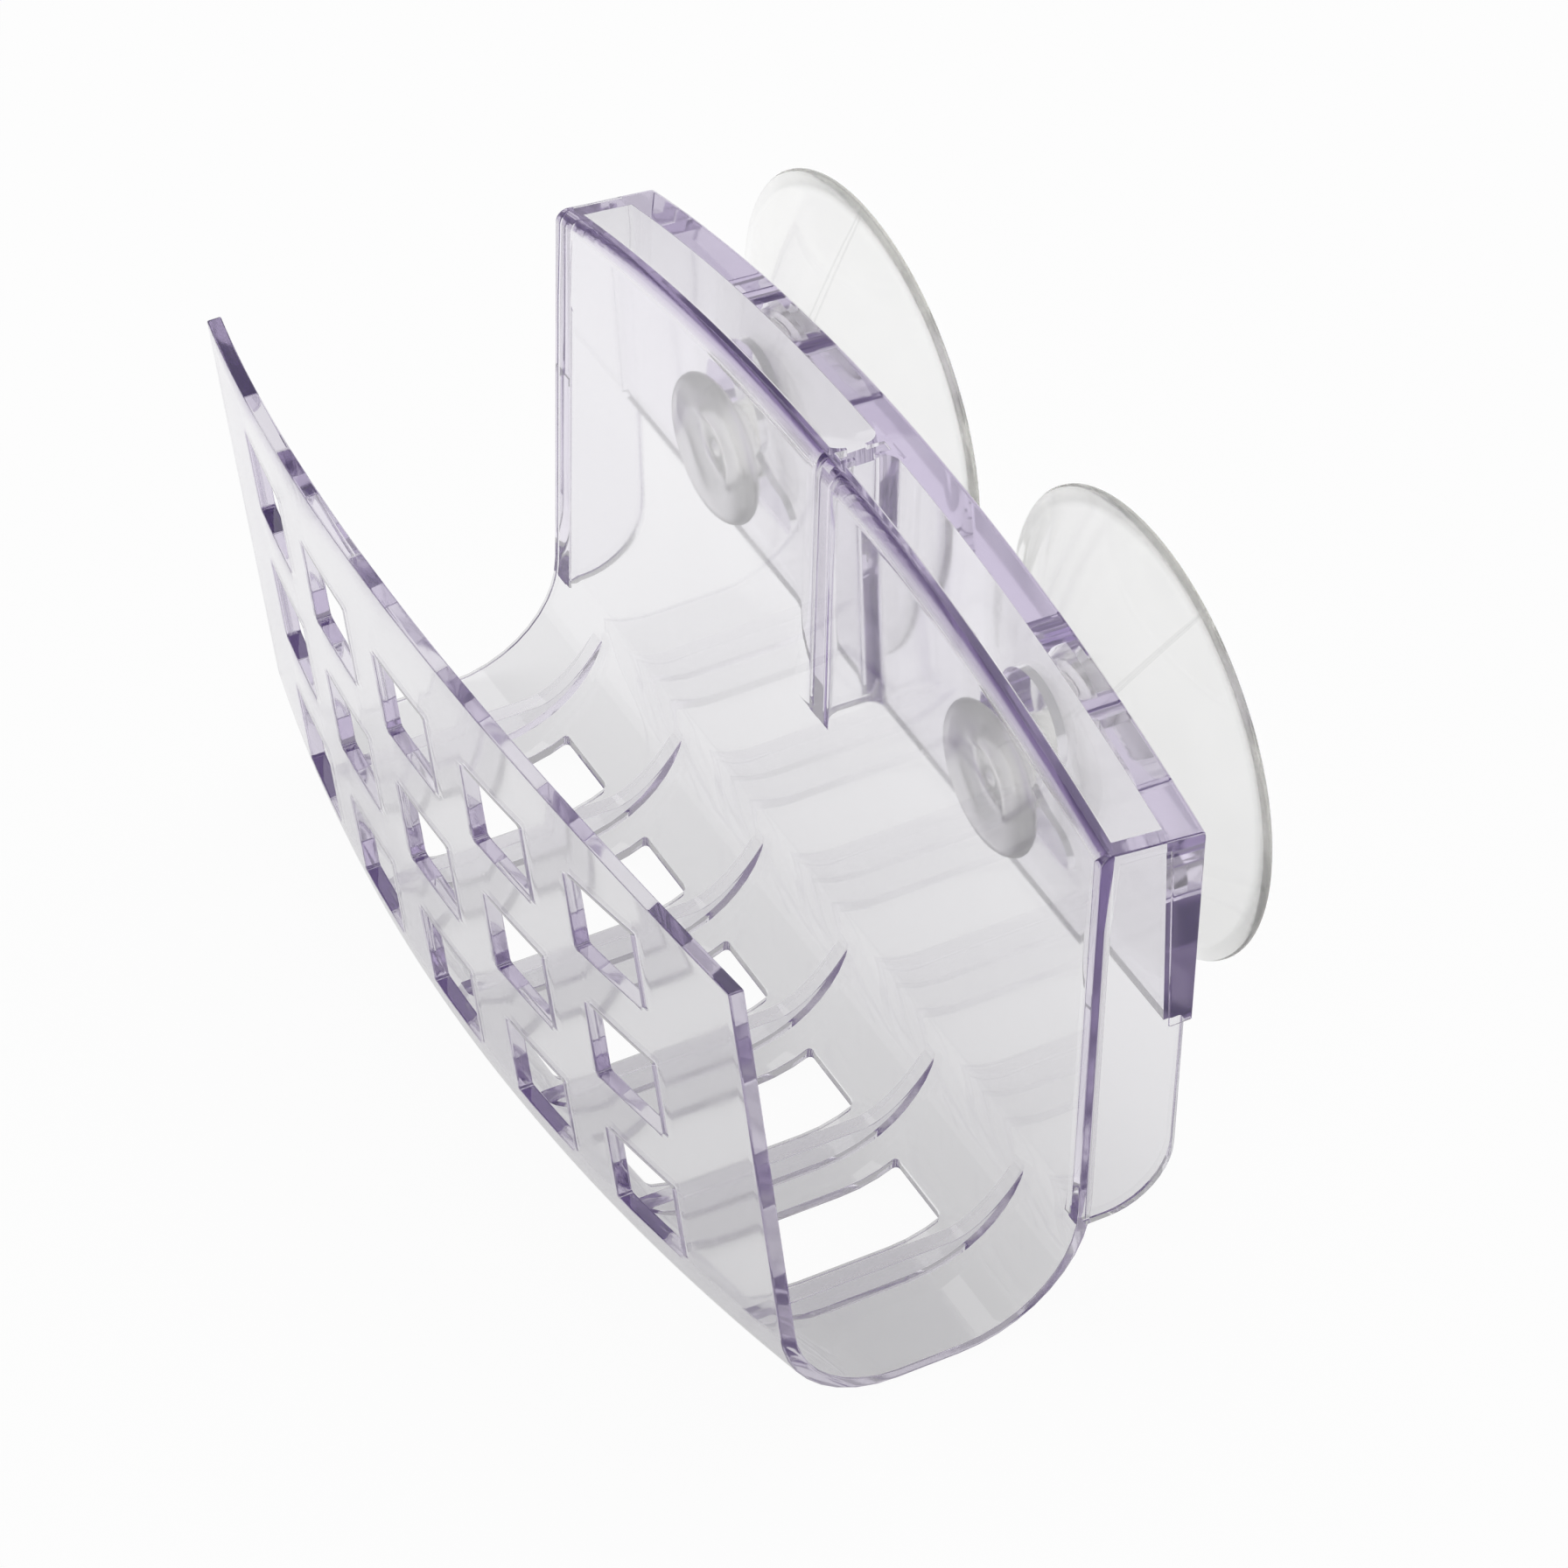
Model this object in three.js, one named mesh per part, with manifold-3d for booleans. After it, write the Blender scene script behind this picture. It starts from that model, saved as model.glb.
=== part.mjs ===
// A clear soap dish that hangs on a tiled wall by two soft suction cups.
// Millimetres, +Z up. The tile is the plane y = 0 and the dish stands out from it towards -y.
// z = 0 is the height of the cup axes while the cups rest at the foot of their keyholes.

import * as THREE from 'three';
import { mergeVertices } from 'three/addons/utils/BufferGeometryUtils.js';
import Module from 'manifold-3d';

const wasm = await Module();
wasm.setup();

// Dish: overall sizes.
const dishWidth = 124;
const wallThickness = 1.8;
const floorThickness = 1.45;
const dishHeight = 67.9;
const tileToPlate = 10.8;
const hoodDepth = 13;
const mouthDepth = 42.5;
const archRise = 9;

// Cradle: front wall, floor and the two bends that join them.
const frontLean = THREE.MathUtils.degToRad(7.7);
const frontBow = 7.6;
const frontBendRadius = 15;
const rearBendRadius = 16;
const rearInnerRadius = 14;

// Square holes of the front wall.
const holePitch = 20;
const holeSize = 11.5;
const holeCorner = 0.4;
const holeColumns = 5;
const holeRows = 3;
const firstRowDrop = 9.4;

// Drain slots and ribs of the floor.
const slotWidth = 10.2;
const slotCorner = 0.6;
const slotRearInset = 7;
const slotFrontInset = 8;
const slotCutHeight = 9;
const ribThickness = 2.1;
const ribTipInset = 0.6;
const ribTipDrop = 55.8;
const ribCurveInset = 5;
const ribCurveDrop = 62.2;
const ribKneeInset = 9;
const ribFlatDrop = 62.6;

// Hood: roof, rear plate and webs.
const roofThickness = 1.6;
const roofFall = 1.5;
const roofEdgeRadius = 1.5;
const plateDrop = 28.8;
const plateTopThickness = 4.2;
const plateFootThickness = 2.9;
const endWebThickness = 2.5;
const endWebDrop = 55.4;
const endWebCorner = 8;
const endWebInset = 0.8;
const endWebFillet = 0.8;
const centreWebThickness = 2.3;
const centreWebFillet = 2.3;
const filletRoot = 0.5;

// Suction cups and the keyholes they hang in.
const cupSpacing = 63;
const cupRadius = 27.5;
const cupLandWidth = 2;
const cupEdgeThickness = 0.5;
const bellDepth = 8;
const bellRootRadius = 8.6;
const bellRootRise = 0.5;
const bellShoulderRadius = 11;
const bellShoulderRise = 2;
const bellKneeRadius = 23;
const bellKneeDepth = 2.6;
const bellEdgeRadius = 26;
const bellEdgeDepth = 0.95;
const neckRadius = 4.6;
const headRadius = 9.3;
const headThickness = 3.2;
const headSetback = 4.8;
const headRimRadius = 6.2;
const headDimpleDepth = 1.3;
const fitGap = 0.3;
const sideGap = 0.4;
const cupTravel = 7;
const seatRadius = 6.3;
const seatDrop = 2.8;
const keyholeFootHalfWidth = 12.8;
const keyholeFootHeight = 4.7;
const keyholeCorner = 1.8;
const keyholeTaper = 2.2;
const pinchFlare = 2;
const pinchFlareDrop = 1.6;

// Room that a cutting shape keeps past the face that it leaves.
const cutMargin = 5;

// Heights and depths that follow from the sizes above.
const halfWidth = dishWidth / 2;
const keyholeFoot = -(neckRadius + fitGap);
const seatTop = cupTravel + neckRadius + fitGap;
const cornerHeight = seatTop + seatDrop;
const floorUnderside = cornerHeight - dishHeight;
const plateRear = -tileToPlate;
const wallFront = plateRear - hoodDepth;
const wallRear = wallFront + wallThickness;
const frontTop = wallFront - mouthDepth - wallThickness / Math.cos(frontLean);
const rearBendY = wallRear - rearBendRadius;
const frontBendZ = floorUnderside + frontBendRadius;
const frontDrop = cornerHeight - frontBendZ + frontBendRadius * Math.sin(frontLean);
const frontBendY = frontTop + frontDrop * Math.tan(frontLean) + frontBendRadius * Math.cos(frontLean);
const archRadius = (halfWidth ** 2 + archRise ** 2) / (2 * archRise);
const aboveDish = cornerHeight + archRise + 2 * cutMargin;
const inFront = frontTop - frontBow - 2 * cutMargin;

// Extrusions are drawn flat and then turned: side views run along x, front views run along -y.
const sideView = new THREE.Matrix4().makeBasis(
  new THREE.Vector3(0, 1, 0),
  new THREE.Vector3(0, 0, 1),
  new THREE.Vector3(1, 0, 0),
);
const frontView = new THREE.Matrix4().makeBasis(
  new THREE.Vector3(1, 0, 0),
  new THREE.Vector3(0, 0, 1),
  new THREE.Vector3(0, -1, 0),
);

function toSolid(geometry) {
  const bare = geometry.clone();
  bare.deleteAttribute('normal');
  bare.deleteAttribute('uv');
  const merged = mergeVertices(bare, 1e-4);
  const mesh = new wasm.Mesh({
    numProp: 3,
    vertProperties: new Float32Array(merged.attributes.position.array),
    triVerts: new Uint32Array(merged.index.array),
  });
  return new wasm.Manifold(mesh);
}

function toGeometry(solid) {
  const mesh = solid.getMesh();
  const geometry = new THREE.BufferGeometry();
  geometry.setAttribute('position', new THREE.BufferAttribute(new Float32Array(mesh.vertProperties), 3));
  geometry.setIndex(new THREE.BufferAttribute(new Uint32Array(mesh.triVerts), 1));
  geometry.computeVertexNormals();
  return geometry;
}

function sideExtrusion(points, xStart, xEnd, steps = 1) {
  const shape = new THREE.Shape(points);
  const options = { depth: xEnd - xStart, steps, bevelEnabled: false };
  const geometry = new THREE.ExtrudeGeometry(shape, options);
  geometry.applyMatrix4(sideView);
  geometry.translate(xStart, 0, 0);
  return geometry;
}

function frontExtrusion(shape, yNear, yFar, curveSegments = 4) {
  const options = { depth: yNear - yFar, bevelEnabled: false, curveSegments };
  const geometry = new THREE.ExtrudeGeometry(shape, options);
  geometry.applyMatrix4(frontView);
  geometry.translate(0, yNear, 0);
  return geometry;
}

function arcPoints(centreY, centreZ, radius, start, end, count) {
  const points = [];
  for (let i = 0; i <= count; i += 1) {
    const angle = start + ((end - start) * i) / count;
    points.push(new THREE.Vector2(centreY + radius * Math.cos(angle), centreZ + radius * Math.sin(angle)));
  }
  return points;
}

// Line of the cradle in side view, set in from its outer face, from the front wall round to the back wall.
function cradleLine(wallInset, floorInset, frontRadius, rearRadius) {
  const lineY = frontTop + wallInset / Math.cos(frontLean);
  const topY = lineY + (cornerHeight - aboveDish) * Math.tan(frontLean);
  const rearY = wallRear - wallInset;
  const floorZ = floorUnderside + floorInset;
  const frontZ = floorZ + frontRadius;
  const drop = cornerHeight - frontZ + frontRadius * Math.sin(frontLean);
  const frontY = lineY + drop * Math.tan(frontLean) + frontRadius * Math.cos(frontLean);
  const frontStart = Math.PI + frontLean;
  const bottom = 1.5 * Math.PI;
  return [
    new THREE.Vector2(topY, aboveDish),
    ...arcPoints(frontY, frontZ, frontRadius, frontStart, bottom, 8),
    ...arcPoints(rearY - rearRadius, floorZ + rearRadius, rearRadius, bottom, 2 * Math.PI, 10),
    new THREE.Vector2(rearY, aboveDish),
  ];
}

// The front of the cradle bows forward between its ends, the back stays straight.
function bowAt(x) {
  return frontBow * (1 - (x / halfWidth) ** 2);
}

function bowForward(geometry) {
  const position = geometry.attributes.position;
  for (let i = 0; i < position.count; i += 1) {
    const share = (rearBendY - position.getY(i)) / (rearBendY - frontBendY);
    const weight = THREE.MathUtils.clamp(share, 0, 1);
    position.setY(i, position.getY(i) - weight * bowAt(position.getX(i)));
  }
  return geometry;
}

function roundedRectangle(x, y, width, height, corner) {
  const shape = new THREE.Shape();
  const right = x + width;
  const top = y + height;
  shape.moveTo(x + corner, y);
  shape.lineTo(right - corner, y);
  shape.absarc(right - corner, y + corner, corner, -Math.PI / 2, 0);
  shape.lineTo(right, top - corner);
  shape.absarc(right - corner, top - corner, corner, 0, Math.PI / 2);
  shape.lineTo(x + corner, top);
  shape.absarc(x + corner, top - corner, corner, Math.PI / 2, Math.PI);
  shape.lineTo(x, y + corner);
  shape.absarc(x + corner, y + corner, corner, Math.PI, 1.5 * Math.PI);
  return shape;
}

// Height of the arched top edge above the dish's corners.
function archAt(x) {
  return archRise - archRadius + Math.sqrt(archRadius ** 2 - x ** 2);
}

function archPoints(lift) {
  const points = [];
  const count = 24;
  for (let i = 0; i <= count; i += 1) {
    const x = -halfWidth + (dishWidth * i) / count;
    points.push(new THREE.Vector2(x, cornerHeight + archAt(x) + lift));
  }
  return points;
}

// Everything under the arch, between two depths. A slope tips the arch about the line y = pivotY.
function underArch(yNear, yFar, lift, slope, pivotY) {
  const outline = archPoints(lift);
  const first = outline[0];
  const last = outline[outline.length - 1];
  const shape = new THREE.Shape([
    new THREE.Vector2(first.x - cutMargin, first.y),
    new THREE.Vector2(first.x - cutMargin, -aboveDish - dishHeight),
    new THREE.Vector2(last.x + cutMargin, -aboveDish - dishHeight),
    new THREE.Vector2(last.x + cutMargin, last.y),
    ...outline.reverse(),
  ]);
  const geometry = frontExtrusion(shape, yNear, yFar);
  geometry.translate(0, -pivotY, 0);
  geometry.applyMatrix4(new THREE.Matrix4().makeShear(0, 0, 0, slope, 0, 0));
  geometry.translate(0, pivotY, 0);
  return toSolid(geometry);
}

const hoodBack = plateRear + cutMargin;
const hoodStart = wallFront - cutMargin;
const hoodSlope = -roofFall / hoodDepth;

// Space that the hood may fill: under the sloping roof, with the front edge rounded in three flats.
function hoodEnvelope() {
  let envelope = underArch(hoodBack, hoodStart, 0, hoodSlope, wallFront);
  for (const degrees of [22.5, 45, 67.5]) {
    const tilt = THREE.MathUtils.degToRad(degrees);
    const drop = roofEdgeRadius * (Math.tan(tilt) + 1 - 1 / Math.cos(tilt));
    const flat = underArch(hoodBack, hoodStart, -drop, Math.tan(tilt), wallFront);
    envelope = envelope.intersect(flat);
  }
  return envelope;
}

function cradleSheet() {
  const outer = cradleLine(0, 0, frontBendRadius, rearBendRadius);
  const frontRadius = frontBendRadius - wallThickness;
  const inner = cradleLine(wallThickness, floorThickness, frontRadius, rearInnerRadius);
  const outline = [...outer, ...inner.reverse()];
  return toSolid(bowForward(sideExtrusion(outline, -halfWidth, halfWidth, 16)));
}

function cradleRoom() {
  const frontRadius = frontBendRadius - wallThickness / 2;
  const rearRadius = (rearBendRadius + rearInnerRadius) / 2;
  const middle = cradleLine(wallThickness / 2, floorThickness / 2, frontRadius, rearRadius);
  return toSolid(bowForward(sideExtrusion(middle, -halfWidth, halfWidth, 16)));
}

function latticeHoles() {
  const holes = [];
  for (let row = 0; row < holeRows; row += 1) {
    for (let column = 0; column < holeColumns; column += 1) {
      const x = (column - (holeColumns - 1) / 2) * holePitch - holeSize / 2;
      const z = cornerHeight - firstRowDrop - row * holePitch - holeSize / 2;
      const shape = roundedRectangle(x, z, holeSize, holeSize, holeCorner);
      holes.push(toSolid(frontExtrusion(shape, frontBendY, inFront, 2)));
    }
  }
  return holes;
}

function drainSlots() {
  const slots = [];
  const rear = wallFront - slotRearInset;
  for (let column = 0; column < holeColumns; column += 1) {
    const x = (column - (holeColumns - 1) / 2) * holePitch;
    const wallFoot = frontBendY - frontBendRadius + wallThickness - bowAt(x);
    const front = wallFoot + slotFrontInset;
    const shape = roundedRectangle(x - slotWidth / 2, front, slotWidth, rear - front, slotCorner);
    const options = { depth: slotCutHeight, bevelEnabled: false, curveSegments: 4 };
    const geometry = new THREE.ExtrudeGeometry(shape, options);
    geometry.translate(0, 0, floorUnderside - floorThickness / 2);
    slots.push(toSolid(geometry));
  }
  return slots;
}

// Ribs stand on the floor between the slots and sweep up the rear bend to a point.
function floorRibs(room) {
  const tip = new THREE.Vector2(wallFront - ribTipInset, cornerHeight - ribTipDrop);
  const bend = new THREE.Vector2(wallFront - ribCurveInset, cornerHeight - ribCurveDrop);
  const knee = new THREE.Vector2(wallFront - ribKneeInset, cornerHeight - ribFlatDrop);
  const outline = [
    new THREE.Vector2(wallRear, tip.y),
    ...new THREE.QuadraticBezierCurve(tip, bend, knee).getPoints(6),
    new THREE.Vector2(inFront, knee.y),
    new THREE.Vector2(inFront, floorUnderside - cutMargin),
    new THREE.Vector2(wallRear, floorUnderside - cutMargin),
  ];
  const ribs = [];
  for (let i = 0; i <= holeColumns; i += 1) {
    const x = (i - holeColumns / 2) * holePitch;
    const block = toSolid(sideExtrusion(outline, x - ribThickness / 2, x + ribThickness / 2));
    ribs.push(block.intersect(room));
  }
  return ribs;
}

// A rounded inside corner between a web and the rear of the back wall, from a foot height upwards.
function webFillet(x, y, outX, radius, foot) {
  const outline = [new THREE.Vector2(x - outX * filletRoot, y - filletRoot)];
  outline.push(new THREE.Vector2(x + outX * radius, y - filletRoot));
  for (const point of arcPoints(radius, radius, radius, 1.5 * Math.PI, Math.PI, 5)) {
    outline.push(new THREE.Vector2(x + outX * point.x, y + point.y));
  }
  outline.push(new THREE.Vector2(x - outX * filletRoot, y + radius));
  const options = { depth: aboveDish - foot, bevelEnabled: false };
  const geometry = new THREE.ExtrudeGeometry(new THREE.Shape(outline), options);
  geometry.translate(0, 0, foot);
  return toSolid(geometry);
}

function hoodPieces() {
  const inWall = wallFront + wallThickness / 2;
  const plateTop = plateRear - plateTopThickness;
  const plateFoot = plateRear - plateFootThickness;
  const footZ = cornerHeight - plateDrop;
  const plateOutline = [
    new THREE.Vector2(plateRear, footZ),
    new THREE.Vector2(plateRear, aboveDish),
    new THREE.Vector2(plateTop, aboveDish),
    new THREE.Vector2(plateTop, cornerHeight),
    new THREE.Vector2(plateFoot, footZ),
  ];
  const plate = toSolid(sideExtrusion(plateOutline, -halfWidth, halfWidth));

  const webFoot = cornerHeight - endWebDrop;
  const webRear = plateRear - endWebInset;
  const cornerY = webRear - endWebCorner;
  const cornerZ = webFoot + endWebCorner;
  const endOutline = [
    new THREE.Vector2(inWall, aboveDish),
    new THREE.Vector2(inWall, webFoot),
    ...arcPoints(cornerY, cornerZ, endWebCorner, -Math.PI / 2, 0, 6),
    new THREE.Vector2(webRear, aboveDish),
  ];
  const endInner = halfWidth - endWebThickness;
  const leftWeb = toSolid(sideExtrusion(endOutline, -halfWidth, -endInner));
  const rightWeb = toSolid(sideExtrusion(endOutline, endInner, halfWidth));

  const centreOutline = [
    new THREE.Vector2(inWall, aboveDish),
    new THREE.Vector2(inWall, footZ),
    new THREE.Vector2(plateRear - plateFootThickness / 2, footZ),
    new THREE.Vector2(plateRear - plateFootThickness / 2, aboveDish),
  ];
  const centreHalf = centreWebThickness / 2;
  const centreWeb = toSolid(sideExtrusion(centreOutline, -centreHalf, centreHalf));
  const fillets = [];
  for (const side of [-1, 1]) {
    fillets.push(webFillet(side * endInner, wallRear, -side, endWebFillet, webFoot));
    fillets.push(webFillet(side * centreHalf, wallRear, side, centreWebFillet, footZ));
  }

  const roofOutline = [...archPoints(roofThickness), ...archPoints(-roofThickness).reverse()];
  const roofGeometry = frontExtrusion(new THREE.Shape(roofOutline.reverse()), plateRear, wallFront);
  roofGeometry.translate(0, -wallFront, 0);
  roofGeometry.applyMatrix4(new THREE.Matrix4().makeShear(0, 0, 0, hoodSlope, 0, 0));
  roofGeometry.translate(0, wallFront, 0);
  return [plate, leftWeb, rightWeb, centreWeb, toSolid(roofGeometry), ...fillets];
}

// A keyhole: a round seat above, a narrow neck, and a wide foot that the cup's head is pushed through.
function keyhole(x) {
  const seatZ = seatTop - seatRadius;
  const pinch = neckRadius + sideGap;
  const pinchAngle = Math.acos(pinch / seatRadius);
  const pinchZ = seatZ - seatRadius * Math.sin(pinchAngle);
  const flareX = pinch + pinchFlare;
  const flareZ = pinchZ - pinchFlareDrop;
  const foot = keyholeFootHalfWidth;
  const footTop = keyholeFoot + keyholeFootHeight;
  const sideTop = keyholeFoot + 2 * keyholeCorner;
  const cornerTop = keyholeFoot + keyholeCorner;
  const cornerX = foot - keyholeCorner;
  const shape = new THREE.Shape();
  shape.moveTo(x + pinch, pinchZ);
  shape.absarc(x, seatZ, seatRadius, -pinchAngle, Math.PI + pinchAngle);
  shape.quadraticCurveTo(x - flareX, flareZ, x - foot + keyholeTaper, footTop);
  shape.quadraticCurveTo(x - foot, sideTop, x - foot, cornerTop);
  shape.quadraticCurveTo(x - foot, keyholeFoot, x - cornerX, keyholeFoot);
  shape.lineTo(x + cornerX, keyholeFoot);
  shape.quadraticCurveTo(x + foot, keyholeFoot, x + foot, cornerTop);
  shape.quadraticCurveTo(x + foot, sideTop, x + foot - keyholeTaper, footTop);
  shape.quadraticCurveTo(x + flareX, flareZ, x + pinch, pinchZ);
  return toSolid(frontExtrusion(shape, hoodBack, plateRear - plateTopThickness - filletRoot, 10));
}

function dish() {
  const frontEnvelope = underArch(hoodStart, inFront, 0, 0, wallFront);
  const envelope = frontEnvelope.add(hoodEnvelope());
  let solid = cradleSheet();
  for (const piece of hoodPieces()) {
    solid = solid.add(piece);
  }
  solid = solid.intersect(envelope);
  for (const rib of floorRibs(cradleRoom())) {
    solid = solid.add(rib);
  }
  for (const gap of [...latticeHoles(), ...drainSlots()]) {
    solid = solid.subtract(gap);
  }
  for (const side of [-1, 1]) {
    solid = solid.subtract(keyhole((side * cupSpacing) / 2));
  }
  return solid;
}

// One soft moulding: a round head, a neck and a shallow bell that ends in a flat land on the tile.
function cupGeometry() {
  const headFront = wallFront + headSetback;
  const headBack = headFront + headThickness;
  const shoulder = plateRear + sideGap;
  const mouth = new THREE.Vector2(cupRadius - cupLandWidth, 0);
  const dome = new THREE.Vector2(bellRootRadius, -bellDepth);
  const bellTop = new THREE.Vector2(0, -bellDepth);
  const profile = [
    [0, headFront + headDimpleDepth],
    [headRimRadius - 3.6, headFront + 0.8 * headDimpleDepth],
    [headRimRadius - 1.6, headFront + 0.15 * headDimpleDepth],
    [headRimRadius, headFront],
    [headRadius - 1.2, headFront + 0.3],
    [headRadius - 0.3, headFront + 0.9],
    [headRadius, headFront + 1.7],
    [headRadius - 0.3, headBack - 0.7],
    [headRadius - 1.2, headBack - 0.1],
    [neckRadius + 0.8, headBack],
    [neckRadius, headBack + 0.8],
    [neckRadius, shoulder],
    [bellRootRadius - 1, shoulder],
    [bellRootRadius, shoulder + bellRootRise],
    [bellShoulderRadius, shoulder + bellShoulderRise],
    [bellKneeRadius, -bellKneeDepth],
    [bellEdgeRadius, -bellEdgeDepth],
    [cupRadius - 0.3, -cupEdgeThickness],
    [cupRadius, -cupEdgeThickness / 2],
    [cupRadius, 0],
    [cupRadius - cupLandWidth, 0],
    ...new THREE.QuadraticBezierCurve(mouth, dome, bellTop).getPoints(6).slice(1).map(({ x, y }) => [x, y]),
  ];
  const points = profile.map(([radius, y]) => new THREE.Vector2(radius, y));
  return new THREE.LatheGeometry(points, 48);
}

const clearPlastic = new THREE.MeshStandardMaterial({ color: '#d5d5e4', roughness: 0.12, metalness: 0 });
const softPlastic = new THREE.MeshStandardMaterial({ color: '#e8e6e1', roughness: 0.4, metalness: 0 });

const part = new THREE.Group();
part.name = 'soap_dish';

const dishMesh = new THREE.Mesh(toGeometry(dish()), clearPlastic);
dishMesh.name = 'dish';
part.add(dishMesh);

for (const [name, side] of [['suction_cup_left', -1], ['suction_cup_right', 1]]) {
  const geometry = toGeometry(toSolid(cupGeometry()));
  geometry.translate((side * cupSpacing) / 2, 0, 0);
  const cup = new THREE.Mesh(geometry, softPlastic.clone());
  cup.name = name;
  part.add(cup);
}

export default part;
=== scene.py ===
# %% [markdown]
# # A clear soap dish on two suction cups
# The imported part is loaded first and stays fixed: it says where each body is and how it moves.
# Each piece made below stands for one of its solids, in the same frame.
# Blender counts in metres. A dish is easier to think of in millimetres, so MM turns one into the other.

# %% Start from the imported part
import math
from collections import namedtuple

import bmesh
import bpy
from mathutils import Matrix, Vector


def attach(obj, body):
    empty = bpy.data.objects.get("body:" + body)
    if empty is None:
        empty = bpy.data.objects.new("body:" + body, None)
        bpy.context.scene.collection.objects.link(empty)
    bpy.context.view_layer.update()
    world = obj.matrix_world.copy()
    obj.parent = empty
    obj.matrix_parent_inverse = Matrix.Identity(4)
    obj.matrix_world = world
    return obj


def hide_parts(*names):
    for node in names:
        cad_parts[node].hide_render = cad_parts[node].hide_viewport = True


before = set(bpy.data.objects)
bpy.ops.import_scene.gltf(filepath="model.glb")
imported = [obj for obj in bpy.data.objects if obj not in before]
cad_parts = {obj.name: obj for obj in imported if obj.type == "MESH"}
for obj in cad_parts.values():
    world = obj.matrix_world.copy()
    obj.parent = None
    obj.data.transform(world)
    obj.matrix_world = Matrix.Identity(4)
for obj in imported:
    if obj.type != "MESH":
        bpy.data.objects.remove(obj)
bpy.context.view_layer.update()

MM = 0.001

# %% [markdown]
# ## Sizes
# The real dish is a single clear moulding, long enough for a bar of soap or a sponge.
# Every size is in millimetres and follows the solid part, so the dressed pieces land on it.
# The tile is the plane y = 0, the dish stands out towards -y, and z = 0 is the height of the cup axes.

# %% Sizes of the dish
WIDTH = 124.0
HALF = WIDTH / 2
HEIGHT = 67.9
WALL = 1.8
BOTTOM = 1.45
MOUTH = 42.5
HOOD_DEPTH = 13.0
TILE_GAP = 10.8
LEAN = math.radians(7.7)
BOW = 7.6
ARCH_RISE = 9.0
ARCH_RADIUS = (HALF ** 2 + ARCH_RISE ** 2) / (2 * ARCH_RISE)
print(f"dish {WIDTH:.0f} mm wide, {HEIGHT:.1f} mm high at its corners")

# %% Heights and depths that follow from the cups' travel
NECK = 4.6
NECK_ROOM = 0.3
TRAVEL = 7.0
SEAT_DROP = 2.8
SEAT_TOP = TRAVEL + NECK + NECK_ROOM
CORNER = SEAT_TOP + SEAT_DROP
FLOOR = CORNER - HEIGHT
PLATE_REAR = -TILE_GAP
WALL_FRONT = PLATE_REAR - HOOD_DEPTH
WALL_REAR = WALL_FRONT + WALL
FRONT_TOP = WALL_FRONT - MOUTH - WALL / math.cos(LEAN)
print(f"corner z {CORNER:.1f}, floor z {FLOOR:.1f}, front edge y {FRONT_TOP:.1f}")

# %% The two bends that join the floor to its walls
FRONT_BEND = 15.0
REAR_BEND = 16.0
REAR_INNER = 14.0
Bend = namedtuple("Bend", "outer outer_radius inner inner_radius side")


def front_centre(wall_inset, floor_inset, radius):
    z = FLOOR + floor_inset + radius
    drop = CORNER - z + radius * math.sin(LEAN)
    y = FRONT_TOP + wall_inset / math.cos(LEAN) + drop * math.tan(LEAN) + radius * math.cos(LEAN)
    return (y, z)


front_bend = Bend(front_centre(0, 0, FRONT_BEND), FRONT_BEND,
                  front_centre(WALL, BOTTOM, FRONT_BEND - WALL), FRONT_BEND - WALL, -1)
rear_bend = Bend((WALL_REAR - REAR_BEND, FLOOR + REAR_BEND), REAR_BEND,
                 (WALL_FRONT - REAR_INNER, FLOOR + BOTTOM + REAR_INNER), REAR_INNER, 1)
FRONT_Y = front_bend.outer[0]
REAR_Y = rear_bend.outer[0]
print(f"front bend y {FRONT_Y:.1f}, rear bend y {REAR_Y:.1f}")

# %% [markdown]
# ## One sheet, bent into an S
# Front wall, floor, back wall, roof and rear plate of the real dish are one wall of plastic.
# Seen from the end it runs like an S: down the front, round the floor, up the back, over the roof
# and down the plate. Five joined slabs would show their seams in clear plastic.
# A flat grid that is bent afterwards has no seam, and its holes are simply faces left out.
# Each station is one row of that grid: a point on each skin, how much of the arch each takes,
# and half the width of the hole that the row runs through.

# %% The arch of the top edges and the bow of the front
def arch_at(x):
    return ARCH_RISE - ARCH_RADIUS + math.sqrt(ARCH_RADIUS ** 2 - x ** 2)


def bow_at(x):
    return BOW * (1 - (x / HALF) ** 2)


def bowed(x, y):
    share = (REAR_Y - y) / (REAR_Y - FRONT_Y)
    return y - min(max(share, 0.0), 1.0) * bow_at(x)


print(f"arch at the middle {arch_at(0):.1f} mm, bow at the middle {bow_at(0):.1f} mm")

# %% Stations of the front wall, from its top edge down
HOLE = 11.5
HOLE_ROWS = 3
PITCH = 20.0
FIRST_ROW = 9.4
EDGE_STRIP = 1.8
Station = namedtuple("Station", "under over under_rise over_rise half")
stations = []
row_of = {}


def add_station(under, over, rise=0.0, half=HOLE / 2, name=None, over_rise=None):
    if name:
        row_of[name] = len(stations)
    stations.append(Station(under, over, rise, rise if over_rise is None else over_rise, half))


def front_wall(z, rise=0.0, name=None):
    y = FRONT_TOP + (CORNER - z) * math.tan(LEAN)
    add_station((y, z), (y + WALL / math.cos(LEAN), z), rise, HOLE / 2, name)


front_wall(CORNER, 1.0)
front_wall(CORNER - EDGE_STRIP, 0.5)
for row in range(HOLE_ROWS):
    centre = CORNER - FIRST_ROW - row * PITCH
    front_wall(centre + HOLE / 2, 0.0, f"hole_{row}_top")
    front_wall(centre - HOLE / 2, 0.0, f"hole_{row}_foot")
print("front wall rows:", len(stations))

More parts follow.
